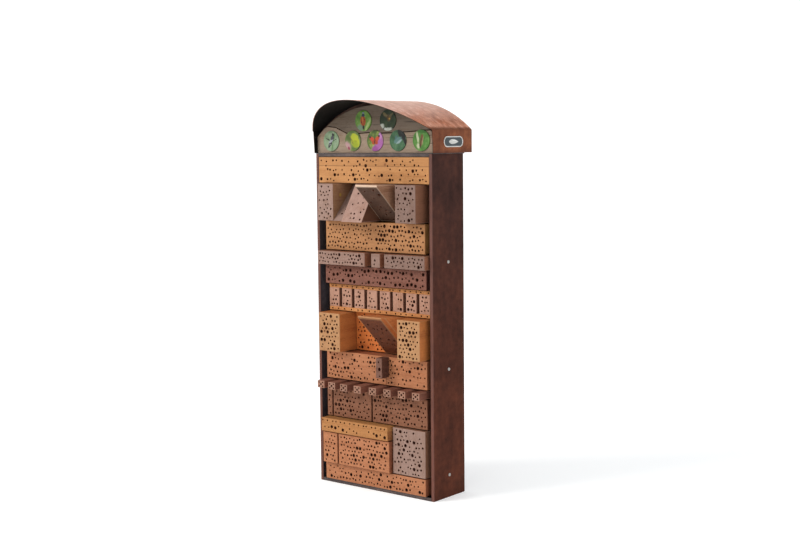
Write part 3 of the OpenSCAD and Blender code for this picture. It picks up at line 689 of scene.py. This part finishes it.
# The top of the arch is lightened towards pale pink: a painted highlight.
crown_highlight_h = 0.07
crown_highlight = part_of(place, "Z").ease(roof_high.z - crown_highlight_h, roof_high.z)
colour = blend(crown_highlight * 0.45, colour, tint(232, 206, 196))
across = part_of(place, "X").math("ABSOLUTE")
from_axis = (part_of(place, "Z") - (roof_high.z - arch_r)).math("POWER", 2) + across * across
in_flange = roof_high.x - across
depth = (arch_r - from_axis.math("SQRT")).math("MINIMUM", in_flange)
fold_in, fold_out = 0.012, 0.002
flange = in_flange.ease(fold_in, fold_out)
flange_colour = ramp(tone, (0.36, tint(84, 46, 30)), (0.5, tint(112, 64, 42)), (0.64, tint(142, 84, 54)))
colour = blend(flange, colour, flange_colour)
hem_h = 0.012
hem = part_of(place, "Z").ease(roof_low.z + hem_h, roof_low.z)
colour = blend(hem * 0.5, colour, tint(74, 44, 34))
# Underside of the sheet painted near black: painted shade under the roof.
underside_shade = depth.ease(0.0003, 0.0012)
colour = blend(underside_shade, colour, ramp(tone, (0.4, tint(4, 3, 3)), (0.6, tint(14, 8, 6))))
close_finish(
    place,
    {"Base Color": colour, "Roughness": 0.85 - tone * 0.2, "Metallic": 0.1, "Specular IOR Level": 0.15},
    height, 0.0005,
)
dress(roof_finish, "roof_shell")

# ---- gable plates ------------------------------------------------------------------
# Steel plates behind the wooden gable and at the rear.
plate_finish, place = new_finish("plate_corten")
colour, tone, height = rusted(
    place, (60, 60, 4), tint(48, 34, 30), tint(74, 50, 42), tint(104, 66, 50)
)
close_finish(place, {"Base Color": colour, "Roughness": 0.85, "Metallic": 0.1}, height, 0.0003)
dress(plate_finish, "front_gable", "rear_gable")

# ---- gable boards ------------------------------------------------------------------
# Two silvered oak boards that meet along a wandering crack.
silver = tint(132, 114, 97)
silver_side = tint(104, 86, 72)
# The upper board is darkened to about half the lower one: painted shade under the visor.
for seed, (name, shade) in enumerate((("gable_board_upper", 0.53), ("gable_board_lower", 1)), 131):
    timber(name, toned(silver, shade), toned(silver_side, shade), "X", seed, ring=0.005, checks=1)

# ---- picture discs -----------------------------------------------------------------
# Seven printed enamel discs on the gable, each a garden insect on leaves or flowers.


def picture(name, centre, radius, ink, ground, *marks):
    """A printed picture: `ink` is how much light the colours give back, the ground is soft and
    leafy, and each mark is (across, up, half width, half height, turn, colour, softness)."""
    sway = 0.24
    material, place = new_finish(name)
    flat = place.node(
        "ShaderNodeMapping", {"vector_type": "TEXTURE"},
        {"Vector": place, "Location": centre, "Scale": (radius, 1, radius)},
    )
    wander = flat.node("ShaderNodeTexNoise", {}, {"Vector": flat, "Scale": 3, "Detail": 2}, 1)
    bent = flat.node(
        "ShaderNodeVectorMath", {"operation": "MULTIPLY_ADD"}, {0: wander, 1: (sway,) * 3, 2: flat}
    )
    bent = bent.node("ShaderNodeVectorMath", {"operation": "SUBTRACT"}, {0: bent, 1: (sway / 2,) * 3})
    blur = noise(flat, 1.6, 2, 0.5)
    colour = ramp(blur, (0.3, ground[0]), (0.5, ground[1]), (0.7, ground[2]))
    for across, up, wide, tall, turn, paint, soft in marks:
        tilt = (0, -math.radians(turn), 0)
        mark = bent.node(
            "ShaderNodeMapping", {"vector_type": "TEXTURE"},
            {"Vector": bent, "Location": (across, 0, up), "Rotation": tilt, "Scale": (wide, 1000, tall)},
        )
        mark = mark.node("ShaderNodeVectorMath", {"operation": "LENGTH"}, {0: mark}, 1)
        colour = blend(mark.ease(1 + soft, 1 - soft), colour, paint)
    dots = noise(flat, 26, 2, 0.6)
    colour = blend(dots.ease(0.5, 0.75) * 0.3, colour, tint(40, 44, 30))
    colour = colour.node("ShaderNodeVectorMath", {"operation": "SCALE"}, {0: colour, 3: ink})
    close_finish(
        place,
        {
            "Base Color": colour, "Roughness": 0.4 + dots * 0.1, "Specular IOR Level": 0.2,
            "Coat Weight": 0.1, "Coat Roughness": 0.15,
        },
        dots, 0.00005,
    )
    return material


def raise_face(shape, faces, height):
    """Extrudes faces that lie in the ground plane up to `height`."""
    made = bmesh.ops.extrude_face_region(shape, geom=faces)["geom"]
    top = [part for part in made if isinstance(part, bmesh.types.BMVert)]
    bmesh.ops.translate(shape, vec=(0, 0, height), verts=top)
    bmesh.ops.recalc_face_normals(shape, faces=shape.faces)


def round_rim(shape, above, radius, segments):
    """Rounds every edge that lies higher than `above`."""
    rim = [edge for edge in shape.edges if all(vertex.co.z > above for vertex in edge.verts)]
    bmesh.ops.bevel(
        shape, geom=rim, offset=radius, segments=segments, profile=0.5, affect="EDGES", material=-1,
    )


pictures = (
    ("slim_fly", 0.5, (tint(120, 150, 110), tint(150, 176, 138), tint(176, 196, 164)),
     (0.3, 0, 0.05, 1.3, -14, tint(104, 146, 84), 0.3),
     (0.16, 0.3, 0.2, 0.3, -24, tint(84, 80, 88), 0.2),
     (-0.1, -0.26, 0.17, 0.46, -32, tint(60, 56, 62), 0.15),
     (-0.02, -0.02, 0.3, 0.1, 30, tint(176, 180, 186), 0.3),
     (-0.14, -0.36, 0.16, 0.06, 20, tint(150, 150, 150), 0.3),
     (0.26, 0.62, 0.14, 0.13, 0, tint(48, 44, 50), 0.2),
     (0.5, 0.1, 0.3, 0.04, 24, tint(58, 54, 56), 0.3),
     (-0.42, 0.16, 0.3, 0.04, -30, tint(58, 54, 56), 0.3)),
    ("lime_moth", 0.5, (tint(84, 112, 44), tint(110, 134, 66), tint(150, 160, 100)),
     (-0.75, -0.6, 0.45, 0.5, 20, tint(214, 168, 170), 0.4),
     (-0.5, -0.75, 0.14, 0.2, 0, tint(170, 70, 96), 0.3),
     (0.3, 0.05, 0.5, 0.72, 28, tint(206, 214, 48), 0.1),
     (0.3, -0.3, 0.34, 0.4, 50, tint(176, 190, 36), 0.25),
     (0.45, -0.02, 0.05, 0.05, 0, tint(130, 70, 30), 0.3),
     (-0.16, 0.1, 0.06, 0.5, 30, tint(150, 140, 60), 0.3)),
    ("red_butterfly", 0.5, (tint(60, 84, 40), tint(104, 130, 56), tint(188, 196, 96)),
     (0.55, -0.35, 0.5, 0.8, -20, tint(196, 116, 190), 0.35),
     (0.7, 0.5, 0.25, 0.3, 0, tint(222, 150, 214), 0.4),
     (0.0, -0.8, 0.4, 0.3, 0, tint(176, 92, 168), 0.35),
     (-0.36, 0.16, 0.36, 0.2, -36, tint(226, 84, 44), 0.15),
     (0.3, 0.18, 0.34, 0.2, 40, tint(230, 90, 46), 0.15),
     (-0.14, -0.16, 0.24, 0.2, 30, tint(196, 80, 40), 0.2),
     (0.16, -0.14, 0.24, 0.2, -30, tint(202, 84, 44), 0.2),
     (-0.58, 0.36, 0.1, 0.1, 0, tint(40, 34, 60), 0.3),
     (0.5, 0.42, 0.1, 0.1, 0, tint(40, 34, 60), 0.3),
     (0.0, 0.04, 0.05, 0.34, 0, tint(50, 30, 26), 0.25)),
    ("leaf_moth", 0.42, (tint(52, 96, 60), tint(78, 128, 86), tint(112, 156, 112)),
     (0.45, 0.6, 0.34, 0.62, 34, tint(34, 40, 34), 0.2),
     (0.85, 0.0, 0.16, 0.5, 20, tint(28, 34, 30), 0.25),
     (0.0, 0.06, 0.5, 0.22, 26, tint(112, 156, 150), 0.25),
     (0.22, -0.08, 0.4, 0.1, 30, tint(180, 206, 204), 0.3),
     (-0.2, 0.3, 0.26, 0.12, 60, tint(90, 130, 128), 0.25)),
    ("brown_fly", 0.55, (tint(64, 118, 40), tint(88, 144, 58), tint(124, 172, 88)),
     (-0.42, 0.3, 0.13, 0.5, 10, tint(206, 214, 170), 0.35),
     (-0.34, -0.5, 0.16, 0.26, 10, tint(214, 216, 178), 0.4),
     (0.0, -0.12, 0.15, 0.56, -10, tint(110, 76, 46), 0.2),
     (0.1, 0.4, 0.16, 0.2, 0, tint(128, 84, 48), 0.2),
     (0.16, -0.05, 0.06, 0.4, -14, tint(176, 148, 110), 0.3),
     (-0.1, -0.5, 0.06, 0.26, 16, tint(70, 48, 32), 0.25),
     (0.2, 0.85, 0.6, 0.18, 0, tint(60, 120, 40), 0.4)),
    ("round_beetle", 0.5, (tint(84, 132, 44), tint(120, 168, 66), tint(160, 196, 110)),
     (-0.35, -0.7, 0.5, 0.3, 20, tint(132, 160, 128), 0.35),
     (0.55, -0.45, 0.14, 0.6, -30, tint(190, 214, 130), 0.35),
     (0.0, -0.02, 0.34, 0.5, 8, tint(186, 84, 30), 0.12),
     (-0.06, 0.12, 0.1, 0.3, 8, tint(222, 128, 60), 0.35),
     (0.02, 0.52, 0.2, 0.16, 0, tint(58, 64, 92), 0.2),
     (0.04, 0.74, 0.12, 0.08, 0, tint(150, 160, 190), 0.3),
     (0.04, -0.66, 0.1, 0.22, -10, tint(56, 34, 22), 0.25),
     (0.14, 0.1, 0.06, 0.06, 0, tint(40, 24, 20), 0.3),
     (-0.14, -0.14, 0.06, 0.06, 0, tint(40, 24, 20), 0.3)),
    ("garden_bee", 0.45, (tint(26, 44, 20), tint(42, 62, 30), tint(66, 84, 44)),
     (-0.7, -0.55, 0.24, 0.24, 0, tint(226, 230, 214), 0.35),
     (0.1, -0.86, 0.44, 0.16, 8, tint(222, 226, 210), 0.35),
     (-0.3, -0.8, 0.16, 0.12, 0, tint(240, 242, 232), 0.3),
     (0.0, 0.4, 0.5, 0.2, -12, tint(98, 82, 50), 0.25),
     (-0.3, 0.55, 0.3, 0.12, -30, tint(140, 124, 80), 0.35),
     (0.14, 0.16, 0.22, 0.26, 20, tint(112, 80, 36), 0.2),
     (0.22, 0.14, 0.1, 0.1, 0, tint(236, 186, 74), 0.3),
     (0.4, 0.5, 0.3, 0.12, 36, tint(120, 108, 70), 0.35)),
)
for (low, high), (name, ink, ground, *marks) in zip(parts_of("picture_discs"), pictures):
    radius = (high.x - low.x) / 2
    centre = (low + high) / 2
    disc = bmesh.new()
    bmesh.ops.create_circle(disc, cap_ends=True, radius=radius, segments=72)
    raise_face(disc, disc.faces[:], high.y - low.y)
    round_rim(disc, above=1e-5, radius=0.0006, segments=3)
    upright = Matrix.Translation((centre.x, high.y, centre.z)) @ Matrix.Rotation(math.pi / 2, 4, "X")
    bmesh.ops.transform(disc, matrix=upright, verts=disc.verts)
    finish = picture("print_" + name, centre, radius, ink, ground, *marks)
    new_piece("disc_" + name, disc, "roof_cap", "picture_discs", "picture_print", finish)

# ---- badge -------------------------------------------------------------------------
# A pressed metal plate on the right flange: bright rim, slate field and a plain leaf.
low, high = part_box("badge")
half_h = (high.z - low.z) / 2
straight = (high.y - low.y) / 2 - half_h
thick = high.x - low.x
rim_w = 0.0022
sunk = 0.0006
corners = 48
plate = bmesh.new()
bmesh.ops.create_circle(plate, cap_ends=True, radius=half_h, segments=corners)
bmesh.ops.rotate(plate, matrix=Matrix.Rotation(math.pi / corners, 3, "Z"), verts=plate.verts)
for vertex in plate.verts:
    vertex.co.x += math.copysign(straight, vertex.co.x)
raise_face(plate, plate.faces[:], thick)
field = max(plate.faces, key=lambda face: face.calc_center_median().z)
bmesh.ops.inset_region(plate, faces=[field], thickness=rim_w)
bmesh.ops.inset_region(plate, faces=[field], thickness=0.0004, depth=-sunk)
field.material_index = 1
round_rim(plate, above=thick - 1e-6, radius=0.0003, segments=2)
on_flange = Matrix((
    (0, 0, 1, low.x),
    (1, 0, 0, (low.y + high.y) / 2),
    (0, 1, 0, (low.z + high.z) / 2),
    (0, 0, 0, 1),
))
bmesh.ops.transform(plate, matrix=on_flange, verts=plate.verts)

rim_metal, place = new_finish("badge_rim")
scuffs = noise(scaled(place, (200, 60, 900)), 1, 3, 0.6)
colour = ramp(scuffs, (0.3, tint(168, 168, 164)), (0.7, tint(226, 226, 222)))
close_finish(
    place,
    {"Base Color": colour, "Roughness": 0.35 + scuffs * 0.2, "Metallic": 0.7},
    scuffs, 0.00003,
)
slate, place = new_finish("badge_slate")
grain = noise(place, 1400, 3, 0.6)
colour = ramp(grain, (0.3, tint(34, 42, 46)), (0.7, tint(58, 68, 72)))
close_finish(place, {"Base Color": colour, "Roughness": 0.5 + grain * 0.2}, grain, 0.00005)
new_piece("badge_plate", plate, "roof_cap", "badge", "badge_metal", rim_metal, slate)

leaf = bmesh.new()
leaf_l = straight * 1.5
leaf_w = half_h * 0.46
half_turn = 12
for step in range(2 * half_turn):
    share = step / half_turn - 1
    along_leaf = -leaf_l / 2 + leaf_l * abs(share)
    bulge = leaf_w * math.sin(math.pi * abs(share) ** 0.8) ** 0.9
    leaf.verts.new((along_leaf, math.copysign(bulge, share), 0))
bmesh.ops.remove_doubles(leaf, verts=leaf.verts, dist=1e-6)
raise_face(leaf, [leaf.faces.new(leaf.verts[:])], sunk)
on_field = on_flange @ Matrix.Translation((0, 0, thick - sunk - 0.0001))
bmesh.ops.transform(leaf, matrix=on_field, verts=leaf.verts)
new_piece("badge_leaf", leaf, "roof_cap", "badge", "badge_metal", rim_metal)
